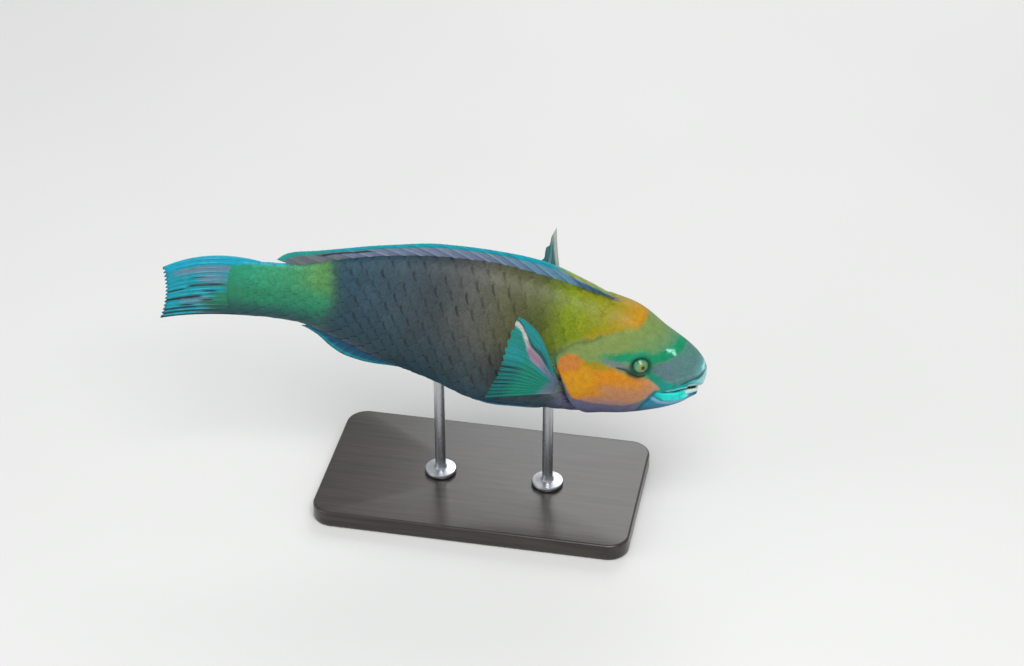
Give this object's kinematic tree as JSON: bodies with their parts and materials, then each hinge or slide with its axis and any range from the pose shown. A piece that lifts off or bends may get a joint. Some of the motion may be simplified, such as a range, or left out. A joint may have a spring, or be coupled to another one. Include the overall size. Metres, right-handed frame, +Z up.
{
  "type": "parrotfish display model",
  "caption": "Life-size still model of a swimming parrotfish with raised pectoral fins, held by two rods on a flat display base.",
  "frame": {"origin": "on the surface that the stand rests on, under the middle of the whole model's box", "axes": "+X towards the fish's snout, +Y to the fish's left, +Z up"},
  "size_m": [0.3004, 0.1, 0.1631],
  "materials": {
    "skin_head": "painted cast resin, satin, green and yellow with orange nape",
    "skin_jaw": "painted cast resin, satin, bright blue-green",
    "skin_cheek": "painted cast resin, satin, orange",
    "tooth_plate": "painted cast resin, gloss, bluish white",
    "eye": "clear-coated, high gloss, yellow-green iris",
    "skin_body": "painted cast resin, satin, dusky with scale edges",
    "skin_tail": "painted cast resin, satin, yellow-green",
    "fin_dorsal": "painted thin resin, satin, lavender with cyan margin",
    "fin_anal": "painted thin resin, satin, blue",
    "fin_caudal": "painted thin resin, satin, cyan rays",
    "fin_pectoral": "painted thin resin, satin, green with a pale band",
    "fin_pelvic": "painted thin resin, satin, lavender blue",
    "stand_base": "black-stained hardwood, satin varnish",
    "stand_rod": "brushed"
  },
  "bodies": {
    "root": {"head": "skin_head", "lower_jaw": "skin_jaw", "gill_cover_left": "skin_cheek", "gill_cover_right": "skin_cheek", "beak_upper": "tooth_plate", "beak_lower": "tooth_plate", "eye_left": "eye", "eye_right": "eye", "torso": "skin_body", "tail_base": "skin_tail", "dorsal_fin": "fin_dorsal", "anal_fin": "fin_anal", "caudal_fin": "fin_caudal", "pectoral_fin_left": "fin_pectoral", "pectoral_fin_right": "fin_pectoral", "pelvic_fin_left": "fin_pelvic", "pelvic_fin_right": "fin_pelvic", "stand_base": "stand_base", "stand_rod_front": "stand_rod", "stand_rod_rear": "stand_rod"}
  },
  "joints": []
}
